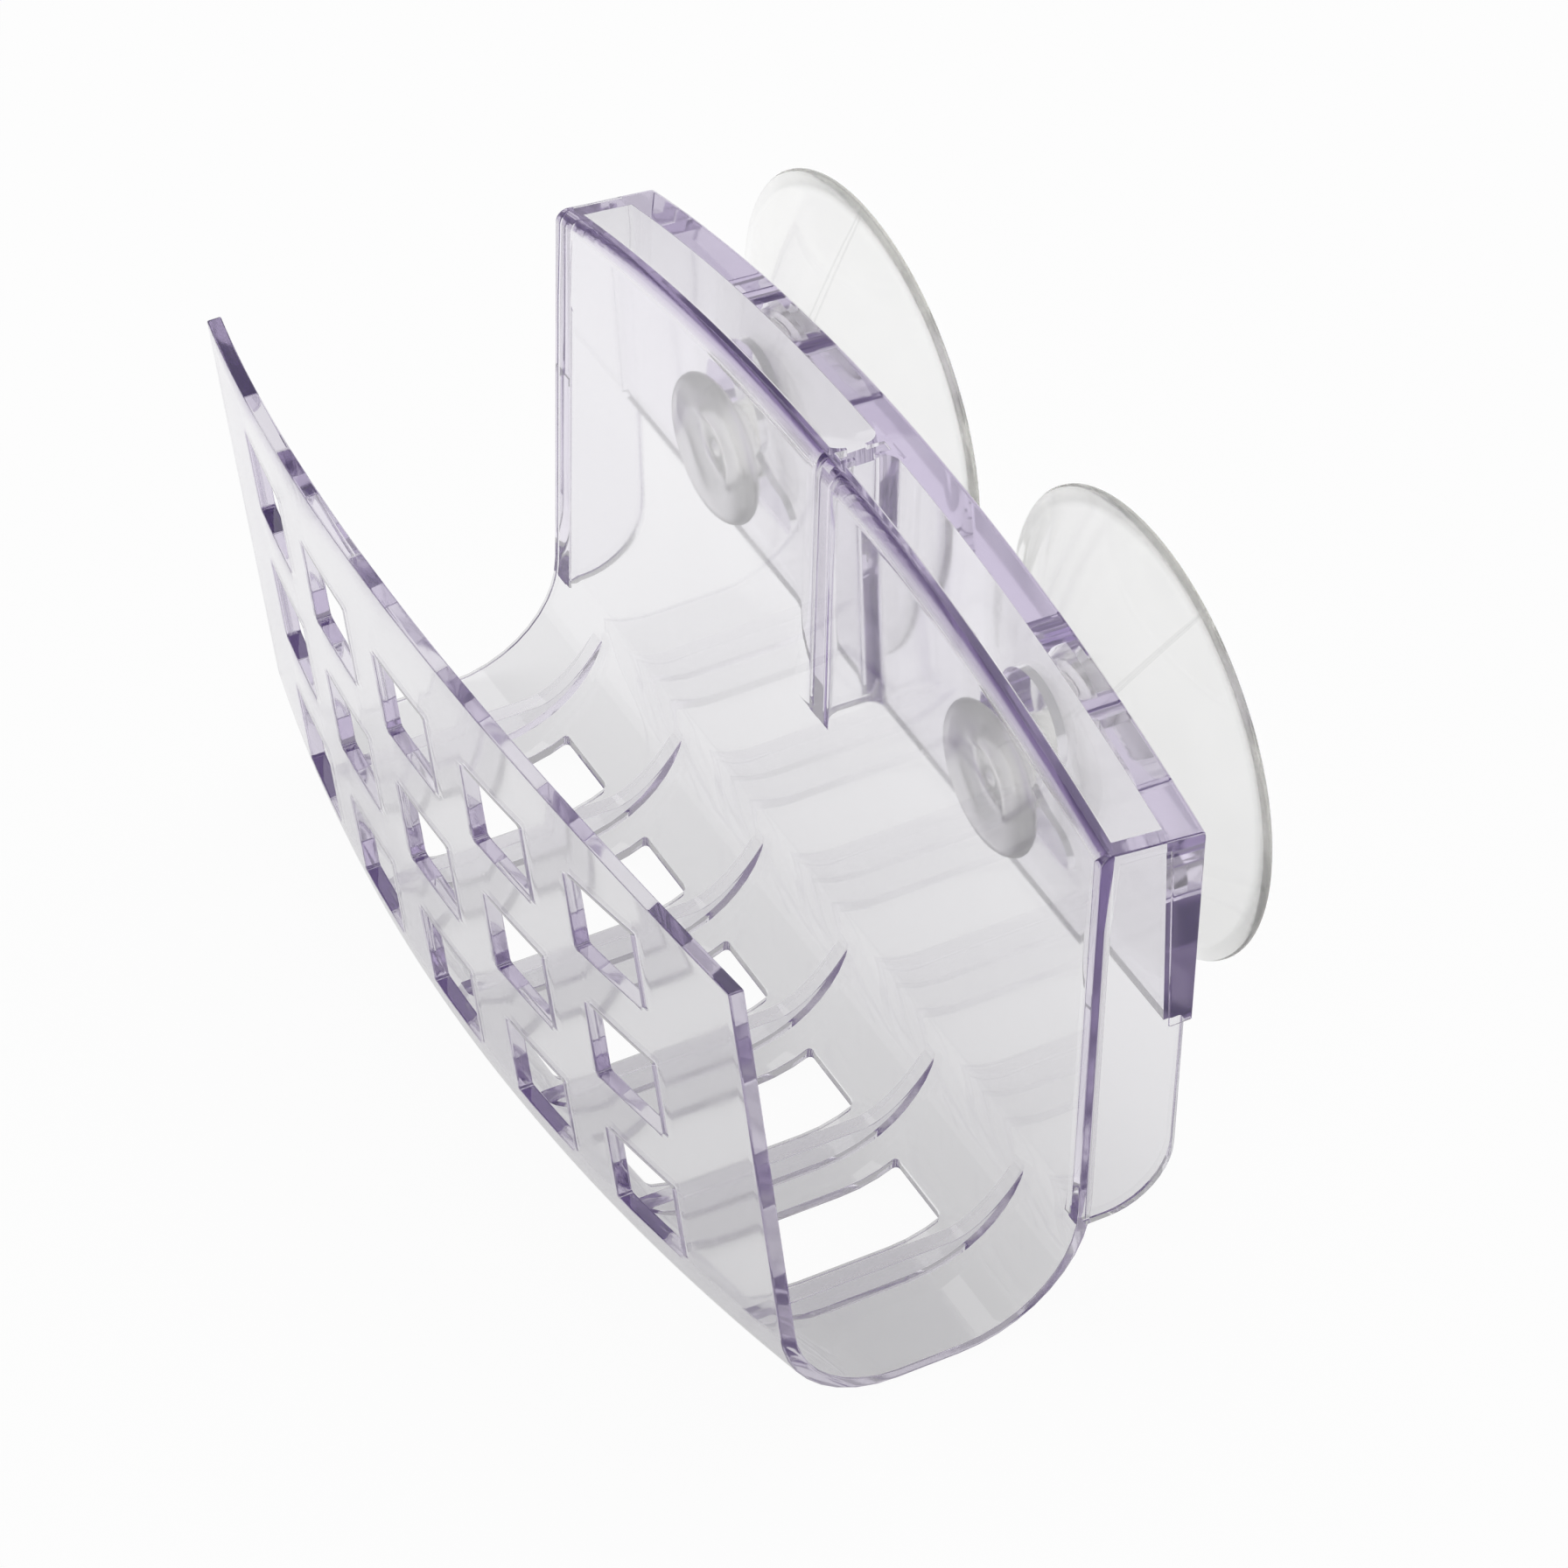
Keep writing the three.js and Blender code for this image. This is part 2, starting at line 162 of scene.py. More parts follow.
# %% Rows round a bend, and the row where a slot ends
SLOT = 10.2
SLOT_REAR = 7.0
SLOT_FRONT = 8.0


def on_circle(centre, radius, degrees, side):
    angle = math.radians(degrees)
    return (centre[0] + side * radius * math.cos(angle), centre[1] + radius * math.sin(angle))


def bend_pair(bend, outer, inner, name=None):
    add_station(on_circle(bend.outer, bend.outer_radius, -outer, bend.side),
                on_circle(bend.inner, bend.inner_radius, -inner, bend.side), 0.0, SLOT / 2, name)


def bend_cut(bend, y):
    outer = math.acos(abs(y - bend.outer[0]) / bend.outer_radius)
    inner = math.acos(abs(y - bend.inner[0]) / bend.inner_radius)
    return math.degrees(outer), math.degrees(inner)


slot_front_cut = bend_cut(front_bend, FRONT_Y - FRONT_BEND + WALL + SLOT_FRONT)
slot_rear_cut = bend_cut(rear_bend, WALL_FRONT - SLOT_REAR)
print(f"slots end {slot_front_cut[0]:.0f} and {slot_rear_cut[0]:.0f} degrees round the bends")

# %% Stations of the two bends and the floor between them
for degrees in range(14, 60, 9):
    bend_pair(front_bend, degrees, degrees)
bend_pair(front_bend, *slot_front_cut, "slot_front")
bend_pair(front_bend, 80, 79)
bend_pair(front_bend, 90, 90)
floor_middle = (FRONT_Y + REAR_Y) / 2
add_station((floor_middle, FLOOR), (floor_middle, FLOOR + BOTTOM), 0.0, SLOT / 2)
for outer, inner in ((90, 90), (81, 80), (72, 70)):
    bend_pair(rear_bend, outer, inner)
bend_pair(rear_bend, *slot_rear_cut, "slot_rear")
for outer, inner in ((54, 51), (45, 43), (36, 34.5), (27, 26), (18, 17.5), (9, 9)):
    bend_pair(rear_bend, outer, inner)
bend_pair(rear_bend, 0, 0, "rear_bend_top")
print("rows down to the back wall:", len(stations))

# %% [markdown]
# ## Back wall, roof and rear plate
# The roof's front edge is what the eye meets first, and in clear plastic it acts as a lens.
# A sharp edge gives two thin lines of colour there. A full round of 1.5 mm outside, with a wall that is
# a little thicker just under the roof, gives the one broad dark band that the real edge has.
# So both skins get their own circle, swept in the same steps. The outer round takes a little less of the arch
# at its foot than at its top, which makes it taller at the middle of the dish than at the ends.

# %% Stations of the back wall and the front edge of the roof
ROOF = 1.6
ROOF_FALL = 1.5
ROOF_EDGE = 1.5
INNER_CORNER = 0.15
WALL_GAIN = 0.65
EDGE_ARCH_LOSS = 0.8
BACK_WALL_ROWS = (-26.0, -12.0, 2.0)


def roof_z(y):
    return CORNER - ROOF_FALL * (y - WALL_FRONT) / HOOD_DEPTH


for z in BACK_WALL_ROWS:
    add_station((WALL_REAR, z), (WALL_FRONT, z))
front_over = (WALL_FRONT + ROOF_EDGE, roof_z(WALL_FRONT + ROOF_EDGE) - ROOF_EDGE)
inner_y = WALL_REAR + WALL_GAIN + INNER_CORNER
front_under = (inner_y, roof_z(inner_y) - ROOF - INNER_CORNER)
for degrees in range(0, 91, 9):
    under = on_circle(front_under, INNER_CORNER, degrees, -1)
    over = on_circle(front_over, ROOF_EDGE, degrees, -1)
    drop = front_over[1] + ROOF_EDGE - over[1]
    add_station(under, over, 1.0, over_rise=1.0 - EDGE_ARCH_LOSS * drop / ARCH_RISE)
print("rows up to the roof:", len(stations))

# %% Stations of the roof and the rear plate
PLATE_TOP = 4.2
PLATE_FOOT = 2.9
PLATE_DROP = 28.8
PLATE_EDGE = 0.7
PLATE_ROWS = (CORNER - 6, -3.0)
PLATE_FOOT_Z = CORNER - PLATE_DROP
PLATE_FRONT = PLATE_REAR - PLATE_TOP


def plate_front(z):
    share = min((CORNER - z) / PLATE_DROP, 1.0)
    return PLATE_FRONT + max(share, 0.0) * (PLATE_TOP - PLATE_FOOT)


roof_middle = (WALL_REAR + PLATE_REAR - PLATE_TOP) / 2
add_station((roof_middle, roof_z(roof_middle) - ROOF), (roof_middle, roof_z(roof_middle)), 1.0)
rear_over = (PLATE_REAR - PLATE_EDGE, roof_z(PLATE_REAR - PLATE_EDGE) - PLATE_EDGE)
rear_y = PLATE_FRONT - INNER_CORNER
rear_under = (rear_y, roof_z(rear_y) - ROOF - INNER_CORNER)
for degrees in (90, 67, 45, 23, 0):
    under = on_circle(rear_under, INNER_CORNER, degrees, 1)
    add_station(under, on_circle(rear_over, PLATE_EDGE, degrees, 1), 1.0)
for z in PLATE_ROWS:
    add_station((plate_front(z), z), (PLATE_REAR, z))
plate_foot_y = plate_front(PLATE_FOOT_Z)
add_station((plate_foot_y, PLATE_FOOT_Z), (PLATE_REAR, PLATE_FOOT_Z), name="plate_foot")
print("rows in all:", len(stations))

# %% [markdown]
# ## The grid itself
# The columns run along the dish. A line at each edge of a hole lets whole faces be dropped to open it.
# Extruding the remaining faces once gives the second skin and closes every hole wall on the way.
# The corners of the holes and then the outer edges are rounded, because a moulding has no knife edges.
# Only the foot of the rear plate stays crisp, as on the real dish.

# %% Columns and the faces that are left out
HOLE_COLUMNS = 5
HOLE_CORNER = 0.4
SLOT_CORNER = 0.6
HALF_STEPS = 5
BETWEEN = range(7, 14)
Opening = namedtuple("Opening", "left right top foot corner")

columns = [(-HALF + step, 0) for step in range(16)]
openings = []
for hole in range(HOLE_COLUMNS):
    centre = (hole - HOLE_COLUMNS // 2) * PITCH
    left = len(columns)
    right = left + 2 * HALF_STEPS
    columns += [(centre, step / HALF_STEPS) for step in range(-HALF_STEPS, HALF_STEPS + 1)]
    columns += [(centre + offset, 0) for offset in BETWEEN]
    for row in range(HOLE_ROWS):
        top = row_of[f"hole_{row}_top"]
        foot = row_of[f"hole_{row}_foot"]
        openings.append(Opening(left, right, top, foot, HOLE_CORNER))
    openings.append(Opening(left, right, row_of["slot_front"], row_of["slot_rear"], SLOT_CORNER))
columns += [(HALF - step, 0) for step in range(8, -1, -1)]
print("columns:", len(columns), "openings:", len(openings))

# %% Where a point of the grid lands
def column_x(column, station):
    centre, side = columns[column]
    return centre + side * station.half


def skin_place(station, column, over):
    x = column_x(column, station)
    y, z = station.over if over else station.under
    rise = (station.over_rise if over else station.under_rise) * arch_at(x)
    lean = math.tan(LEAN) if y < FRONT_Y else 0.0
    return Vector((x, bowed(x, y) - rise * lean, z + rise)) * MM


top_middle = skin_place(stations[0], len(columns) // 2, False) / MM
print("middle of the front edge:", [round(c, 1) for c in top_middle])

# %% The S-shaped sheet with its holes
def in_opening(column, row):
    return any(hole.left <= column < hole.right and hole.top <= row < hole.foot for hole in openings)


def bent_sheet():
    bm = bmesh.new()
    bmesh.ops.create_grid(bm, x_segments=len(columns) - 1, y_segments=len(stations) - 1, size=0.5)
    column_layer = bm.verts.layers.int.new("column")
    row_layer = bm.verts.layers.int.new("row")
    for vert in bm.verts:
        vert[column_layer] = round((vert.co.x + 0.5) * (len(columns) - 1))
        vert[row_layer] = round((vert.co.y + 0.5) * (len(stations) - 1))
    dropped = []
    for face in bm.faces:
        column = min(vert[column_layer] for vert in face.verts)
        row = min(vert[row_layer] for vert in face.verts)
        if in_opening(column, row):
            dropped.append(face)
    bmesh.ops.delete(bm, geom=dropped, context="FACES")
    grown = bmesh.ops.extrude_face_region(bm, geom=bm.faces[:], use_keep_orig=True)["geom"]
    upper = {item for item in grown if isinstance(item, bmesh.types.BMVert)}
    for vert in bm.verts:
        vert.co = skin_place(stations[vert[row_layer]], vert[column_layer], vert in upper)
    bmesh.ops.recalc_face_normals(bm, faces=bm.faces[:])
    return bm, column_layer, row_layer


sheet, column_layer, row_layer = bent_sheet()
print("sheet faces before rounding:", len(sheet.faces))

# %% Round the corners of the holes, then the rims
RIM = 0.22
RIM_ANGLE = 55


def outer_edges(bm, degrees):
    bm.normal_update()
    limit = math.radians(degrees)
    return [edge for edge in bm.edges if edge.is_manifold and edge.calc_face_angle_signed() > limit]


def round_edges(bm, edges, radius, segments):
    bmesh.ops.bevel(bm, geom=edges, offset=radius * MM, segments=segments, profile=0.5, affect="EDGES",
                    clamp_overlap=True, material=-1)


for radius in (HOLE_CORNER, SLOT_CORNER):
    corners = set()
    for hole in openings:
        if hole.corner == radius:
            corners |= {(column, row) for column in (hole.left, hole.right) for row in (hole.top, hole.foot)}
    through = []
    for edge in sheet.edges:
        one, two = ((vert[column_layer], vert[row_layer]) for vert in edge.verts)
        if one == two and one in corners:
            through.append(edge)
    round_edges(sheet, through, radius, 3)
    print("hole corners rounded:", len(through), "at", radius)
crisp = row_of["plate_foot"]
rims = []
for edge in outer_edges(sheet, RIM_ANGLE):
    if any(vert[row_layer] != crisp for vert in edge.verts):
        rims.append(edge)
round_edges(sheet, rims, RIM, 2)
bmesh.ops.recalc_face_normals(sheet, faces=sheet.faces[:])
print("sheet faces:", len(sheet.faces), "open edges:", sum(not edge.is_manifold for edge in sheet.edges))

# %% [markdown]
# ## Webs
# Two end webs and a centre web tie the back wall to the rear plate.
# Each is a flat outline in side view, drawn out along the dish by one extrusion.
# They start a little inside the sheet, so that a union melts them into it as the mould does:
# two faces in the same plane would leave the union with a choice, and clear plastic shows a wrong one.

# %% A flat outline, drawn out into a slab
SLAB_ANGLE = 50


def drawn_out(points, vector):
    bm = bmesh.new()
    face = bm.faces.new([bm.verts.new(Vector(point) * MM) for point in points])
    grown = bmesh.ops.extrude_face_region(bm, geom=[face], use_keep_orig=True)["geom"]
    moved = [item for item in grown if isinstance(item, bmesh.types.BMVert)]
    bmesh.ops.translate(bm, verts=moved, vec=Vector(vector) * MM)
    bmesh.ops.recalc_face_normals(bm, faces=bm.faces[:])
    return bm


def slab(outline, x_from, x_to, edge_radius, is_free):
    bm = drawn_out([(x_from, y, z) for y, z in outline], (x_to - x_from, 0, 0))
    edges = []
    for edge in outer_edges(bm, SLAB_ANGLE):
        heights = [vert.co.z / MM for vert in edge.verts]
        if is_free(min(heights), max(heights)):
            edges.append(edge)
    round_edges(bm, edges, edge_radius, 2)
    return bm


def arc(centre, radius, start, end, count):
    angles = [math.radians(start + (end - start) * i / count) for i in range(count + 1)]
    return [(centre[0] + radius * math.cos(a), centre[1] + radius * math.sin(a)) for a in angles]


print("free edges of a slab are rounded where they turn more than", SLAB_ANGLE, "degrees")

# %% End webs
WEB_ROUND = 0.3
END_WEB = 2.5
END_WEB_DROP = 55.4
END_WEB_CORNER = 8.0
END_WEB_SETBACK = 0.8
END_WEB_INSET = 0.25
SINK_IN_ROOF = 0.9
CLEAR_OF_PLATE = -14.0

in_wall = WALL_FRONT + WALL / 2
web_foot = CORNER - END_WEB_DROP
web_rear = PLATE_REAR - END_WEB_SETBACK
end_outline = [(in_wall, roof_z(in_wall) - SINK_IN_ROOF), (in_wall, web_foot)]
end_outline += arc((web_rear - END_WEB_CORNER, web_foot + END_WEB_CORNER), END_WEB_CORNER, -90, 0, 10)
end_outline += [(web_rear, roof_z(web_rear) - SINK_IN_ROOF)]
end_inner = HALF - END_WEB
webs = []
for side in (-1, 1):
    webs.append(slab(end_outline, side * (HALF - END_WEB_INSET), side * end_inner, WEB_ROUND,
                     lambda low, high: low < CLEAR_OF_PLATE))
print("end web outline points:", len(end_outline))

# %% Centre web
CENTRE_HALF = 1.15
CENTRE_LIFT = 0.12
CENTRE_FOOT = PLATE_FOOT_Z + CENTRE_LIFT
CENTRE_TOP = CORNER + 6
FOOT_STRIP = 0.1
centre_rear = PLATE_REAR - PLATE_FOOT / 2
centre_outline = [(in_wall, CENTRE_TOP), (in_wall, CENTRE_FOOT), (centre_rear, CENTRE_FOOT),
                  (centre_rear, CENTRE_TOP)]
webs.append(slab(centre_outline, -CENTRE_HALF, CENTRE_HALF, WEB_ROUND,
                 lambda low, high: high < CENTRE_FOOT + FOOT_STRIP))
print("webs:", len(webs))

# %% [markdown]
# ## Fillets
# Where a web meets a wall, the mould leaves a hollow round, large at the centre web and small at the ends.
# Seen through clear plastic these rounds bend the light into the dark and pale stripes beside each web.
# A bevel would need clean edges after the union, which a boolean seldom leaves.
# So each fillet is a small closed solid of its own that is buried in both walls.
# It starts just above the foot of its web, so that no two end faces lie in one plane.

# %% Fillets where the webs meet the wall and the plate
END_FILLET = 0.8
CENTRE_FILLET = 2.3
BURY = 0.4
END_START = web_foot + 0.2
WALL_START = CENTRE_FOOT + 0.1
PLATE_START = CENTRE_FOOT + 0.3


def fillet(radius, corner_x, corner_y, out_x, out_y, foot, top, lean=0.0):
    outline = [(-BURY, -BURY), (radius, -BURY)]
    outline += arc((radius, radius), radius, -90, -180, 8)
    outline += [(-BURY, radius)]
    bm = drawn_out([(out_x * u, out_y * v, 0) for u, v in outline], (0, lean, top - foot))
    bmesh.ops.translate(bm, verts=bm.verts[:], vec=Vector((corner_x, corner_y, foot)) * MM)
    return bm


fillets = []
plate_lean = PLATE_FRONT - plate_foot_y
under_roof = roof_z(WALL_REAR) - ROOF / 2
for side in (-1, 1):
    top = under_roof + arch_at(end_inner)
    fillets.append(fillet(END_FILLET, side * end_inner, WALL_REAR, -side, 1, END_START, top))
    x = side * CENTRE_HALF
    top = under_roof + arch_at(CENTRE_HALF)
    fillets.append(fillet(CENTRE_FILLET, x, WALL_REAR, side, 1, WALL_START, top))
    fillets.append(fillet(CENTRE_FILLET, x, plate_foot_y, side, -1, PLATE_START, top, plate_lean))
print("fillets:", len(fillets))

# %% [markdown]
# ## Ribs
# Low ribs between the drain slots keep the soap off the wet floor and run up the back wall in a curve.
# The crest is drawn as a curve, and the underside follows the middle of the sheet,
# so that the whole rib is rooted in the floor and its foot never shows on the other skin.

# %% Ribs between the slots
RIB = 2.1
RIB_ROUND = 0.2
RIB_FLAT = CORNER - 62.6
RIB_ROOT = (WALL_FRONT + 0.4, CORNER - 54.35)
RIB_TIP = (WALL_FRONT - 0.6, CORNER - 55.8)
RIB_BEND = (WALL_FRONT - 5, CORNER - 62.2)
RIB_KNEE = (WALL_FRONT - 9, RIB_FLAT)
RIB_REAR_TOP = CORNER - 54.8
RIB_FRONT_SINK = 0.3


def curve(start, control, end, count=6):
    points = []
    for i in range(1, count + 1):
        t = i / count
        first, second, third = (1 - t) ** 2, 2 * t * (1 - t), t * t
        point = [first * a + second * b + third * c for a, b, c in zip(start, control, end)]
        points.append(tuple(point))
    return points


def middle_of_sheet(station, x):
    y = (station.under[0] + station.over[0]) / 2
    z = (station.under[1] + station.over[1]) / 2
    return (bowed(x, y), z)


def rib(x):
    crest = [RIB_ROOT, RIB_TIP] + curve(RIB_TIP, RIB_BEND, RIB_KNEE, 8)
    lower_rows = stations[row_of["hole_2_foot"]:row_of["rear_bend_top"] + 1]
    path = [middle_of_sheet(station, x) for station in lower_rows]
    front = [(y, z) for y, z in path if y < RIB_KNEE[0] and z < RIB_FLAT]
    rear = [(y, z) for y, z in path if y >= RIB_KNEE[0] and z < RIB_REAR_TOP]
    crest.append((front[0][0] - RIB_FRONT_SINK, RIB_FLAT))
    return slab(crest + front + rear, x - RIB / 2, x + RIB / 2, RIB_ROUND,
                lambda low, high: low > FLOOR + BOTTOM)


ribs = [rib((column - HOLE_COLUMNS / 2) * PITCH) for column in range(HOLE_COLUMNS + 1)]
print("ribs:", len(ribs))

# %% [markdown]
# ## Keyholes
# Each cup hangs in a keyhole of the rear plate: a round seat above, a narrow neck and a wide foot below.
# The outline is drawn once in front view, the left side mirrored to the right, and extruded as a cutter.
# The plate's own grid could hold the hole instead, but its round seat would break up the straight rows.

# %% Outline of a keyhole
SEAT_RADIUS = 6.3
NECK_SIDE_ROOM = 0.4
KEY_FOOT = -(NECK + NECK_ROOM)
KEY_FOOT_HALF = 12.8
KEY_FOOT_HEIGHT = 4.7
KEY_TAPER = 2.2
KEY_CORNER = 1.8
KEY_FLARE = 2
KEY_FLARE_DROP = 1.6


def keyhole_outline():
    seat_z = SEAT_TOP - SEAT_RADIUS
    pinch = NECK + NECK_SIDE_ROOM
    turn = math.degrees(math.acos(pinch / SEAT_RADIUS))
    pinch_z = seat_z - SEAT_RADIUS * math.sin(math.radians(turn))
    seat = arc((0, seat_z), SEAT_RADIUS, -turn, 180 + turn, 36)
    side = -KEY_FOOT_HALF
    left = [(-pinch, pinch_z)]
    left += curve(left[-1], (-pinch - KEY_FLARE, pinch_z - KEY_FLARE_DROP),
                  (side + KEY_TAPER, KEY_FOOT + KEY_FOOT_HEIGHT))
    left += curve(left[-1], (side, KEY_FOOT + 2 * KEY_CORNER), (side, KEY_FOOT + KEY_CORNER))
    left += curve(left[-1], (side, KEY_FOOT), (side + KEY_CORNER, KEY_FOOT))
    right = [(-x, z) for x, z in reversed(left)]
    return seat + left[1:] + right[:-1]


print("keyhole outline points:", len(keyhole_outline()))

# %% Keyhole cutters
CUP_X = 31.5
CUT_START = PLATE_REAR + 3
CUT_DEPTH = 8.5


def keyhole(x):
    return drawn_out([(x + px, CUT_START, pz) for px, pz in keyhole_outline()], (0, -CUT_DEPTH, 0))


cutters = [keyhole(-CUP_X), keyhole(CUP_X)]
print("keyhole cutters:", len(cutters))

# %% [markdown]
# ## One moulding
# Clear plastic shows every inner face, so the sheet, webs and ribs have to become one closed body.
# A boolean union does that, and a difference opens the keyholes.
# The helper below applies the modifier at once and throws the tool away.

# %% Booleans that leave one plain mesh
def as_object(name, *parts):
    joined = bmesh.new()
    for part in parts:
        mesh = bpy.data.meshes.new(name)
        part.to_mesh(mesh)
        joined.from_mesh(mesh)
        bpy.data.meshes.remove(mesh)
    mesh = bpy.data.meshes.new(name)
    joined.to_mesh(mesh)
    joined.free()
    obj = bpy.data.objects.new(name, mesh)
    bpy.context.scene.collection.objects.link(obj)
    return obj


def combine(target, tool, operation):
    modifier = target.modifiers.new(operation.lower(), "BOOLEAN")
    modifier.operation = operation
    modifier.solver = "EXACT"
    modifier.object = tool
    solved = target.evaluated_get(bpy.context.evaluated_depsgraph_get())
    mesh = bpy.data.meshes.new_from_object(solved)
    target.modifiers.clear()
    old = target.data
    target.data = mesh
    bpy.data.meshes.remove(old)
    bpy.data.objects.remove(tool)
    print(operation.lower(), "gives", len(mesh.polygons), "faces")


dish = as_object("clear_dish", sheet)
combine(dish, as_object("webs_and_ribs", *webs, *ribs), "UNION")
combine(dish, as_object("web_fillets", *fillets), "UNION")
combine(dish, as_object("keyholes", *cutters), "DIFFERENCE")

# %% [markdown]
# ## Shading
# A boolean leaves long thin faces, and plain smooth shading would drag dark smears over them.
# So each corner of each face gets its own normal: the mean of the faces round that point that turn
# only a little from it, weighted by their area. Flat walls stay flat and rounds stay round.

# %% Smooth faces, with a crease only at real corners
MERGE = 1e-6
DISH_CREASE = 42


def corner_normal(vert, face, limit):
    total = Vector()
    for other in vert.link_faces:
        if other.normal.dot(face.normal) > limit:
            total += other.normal * other.calc_area()
    return total.normalized()


def finish_shading(obj, degrees):
    bm = bmesh.new()
    bm.from_mesh(obj.data)
    bmesh.ops.remove_doubles(bm, verts=bm.verts[:], dist=MERGE)
    bmesh.ops.dissolve_degenerate(bm, edges=bm.edges[:], dist=MERGE)
    bmesh.ops.triangulate(bm, faces=[face for face in bm.faces if len(face.verts) > 4])
    bm.normal_update()
    limit = math.cos(math.radians(degrees))
    normals = []
    for face in bm.faces:
        face.smooth = True
        normals += [corner_normal(loop.vert, face, limit) for loop in face.loops]
    open_edges = sum(not edge.is_manifold for edge in bm.edges)
    bm.to_mesh(obj.data)
    bm.free()
    obj.data.normals_split_custom_set(normals)
    print(obj.name, "faces", len(obj.data.polygons), "open edges", open_edges)


finish_shading(dish, DISH_CREASE)

# %% [markdown]
# ## Suction cups
# A cup is a soft round moulding: a dimpled head, a neck and a thin bell that ends in a flat land.
# A lathe would turn it, and so does a spin: one profile, swept once about the axis, gives the whole of it.
# The profile is written stretch by stretch as a radius and a depth, from the head to the inside of the bell.

# %% Profile of a cup's head and neck
HEAD = 9.3
HEAD_THICK = 3.2
HEAD_SETBACK = 4.8
head_front = WALL_FRONT + HEAD_SETBACK
head_back = head_front + HEAD_THICK
shoulder = PLATE_REAR + NECK_SIDE_ROOM

nub = [(0, 1.2), (0.6, 1.25), (0.95, 1.6), (1.3, 1.8)]
dimple = [(2.2, 1.75), (3.2, 1.4), (4.0, 0.85), (4.7, 0.3), (5.4, 0.05), (6.2, 0), (7.2, 0.08)]
head_round = [(1.2, 0.3), (0.65, 0.55), (0.3, 0.9), (0.08, 1.3), (0, 1.7)]
back_round = [(0.08, 1.1), (0.3, 0.7), (0.65, 0.35), (1.2, 0.1)]
neck_round = [(0.8, 0), (0.25, 0.25), (0, 0.8)]
profile = [(radius, head_front + depth) for radius, depth in nub + dimple]
profile += [(HEAD - inset, head_front + depth) for inset, depth in head_round]
profile += [(HEAD - inset, head_back - depth) for inset, depth in back_round]
profile += [(NECK + outset, head_back + depth) for outset, depth in neck_round]
profile += [(NECK, shoulder - 0.3), (NECK + 0.3, shoulder)]
print("head and neck points:", len(profile))

# %% Profile of a cup's bell
CUP = 27.5
LAND = 2
bell_root = [(7.2, 0), (7.8, 0.1), (8.6, 0.5)]
bell_slope = [(11, 2.0), (13, 2.95), (15, 3.9), (17, 4.85), (19, 5.8), (21, 6.8)]
bell_edge = [(23, -2.6), (24.6, -1.68), (26, -0.95), (26.7, -0.68)]
rim_round = [(0.3, -0.5), (0.08, -0.4), (0, -0.25), (0, -0.06), (0.06, 0), (LAND, 0)]
bell_inside = [(24.6, -0.4), (23.6, -0.8), (21.3, -1.85), (19, -2.9), (16.5, -3.95), (14, -5.0),
               (11.5, -5.95), (9, -6.8), (6.8, -7.35), (4.5, -7.7), (2.2, -7.93), (0, -8.0)]
profile += [(radius, shoulder + depth) for radius, depth in bell_root + bell_slope]
profile += bell_edge
profile += [(CUP - inset, depth) for inset, depth in rim_round]
profile += bell_inside
print("profile points:", len(profile))

# %% Spin the cups
CUP_STEPS = 96
CUP_CREASE = 50


def cup(side):
    bm = bmesh.new()
    verts = [bm.verts.new(Vector((radius, y, 0)) * MM) for radius, y in profile]
    edges = [bm.edges.new(pair) for pair in zip(verts, verts[1:])]
    bmesh.ops.spin(bm, geom=verts + edges, cent=(0, 0, 0), axis=(0, 1, 0), angle=2 * math.pi,
                   steps=CUP_STEPS, use_merge=True)
    bmesh.ops.remove_doubles(bm, verts=bm.verts[:], dist=MERGE)
    bmesh.ops.recalc_face_normals(bm, faces=bm.faces[:])
    bmesh.ops.translate(bm, verts=bm.verts[:], vec=Vector((side * CUP_X, 0, 0)) * MM)
    return bm


cups = {}
for name, side in (("left", -1), ("right", 1)):
    cups[name] = as_object(f"soft_cup_{name}", cup(side))
    finish_shading(cups[name], CUP_CREASE)

# %% [markdown]
# ## Clear plastic
# The dish is clear with a faint violet cast that only shows where light runs a long way inside it.
# A tinted surface would colour every wall alike. Absorption in the volume doesn't:
# thin walls stay clear and long edges turn dark.
# A very slight unevenness of gloss and surface keeps the big walls from looking like optical glass.

# %% Clear plastic: a see-through body with its tint inside
def new_material(name):
    material = bpy.data.materials.new(name)
    material.use_nodes = True
    nodes = material.node_tree.nodes
    return material, nodes, material.node_tree.links, nodes["Principled BSDF"], nodes["Material Output"]


clear, nodes, links, shader, output = new_material("clear_plastic")
shader.inputs["Base Color"].default_value = (0.97, 0.97, 0.975, 1)
shader.inputs["Transmission Weight"].default_value = 1.0
shader.inputs["IOR"].default_value = 1.57
tint = nodes.new("ShaderNodeVolumeAbsorption")
tint.inputs["Color"].default_value = (0.37, 0.2, 0.59, 1)
tint.inputs["Density"].default_value = 17
links.new(tint.outputs["Volume"], output.inputs["Volume"])
dish.data.materials.clear()
dish.data.materials.append(clear)
print("clear plastic on", dish.name)

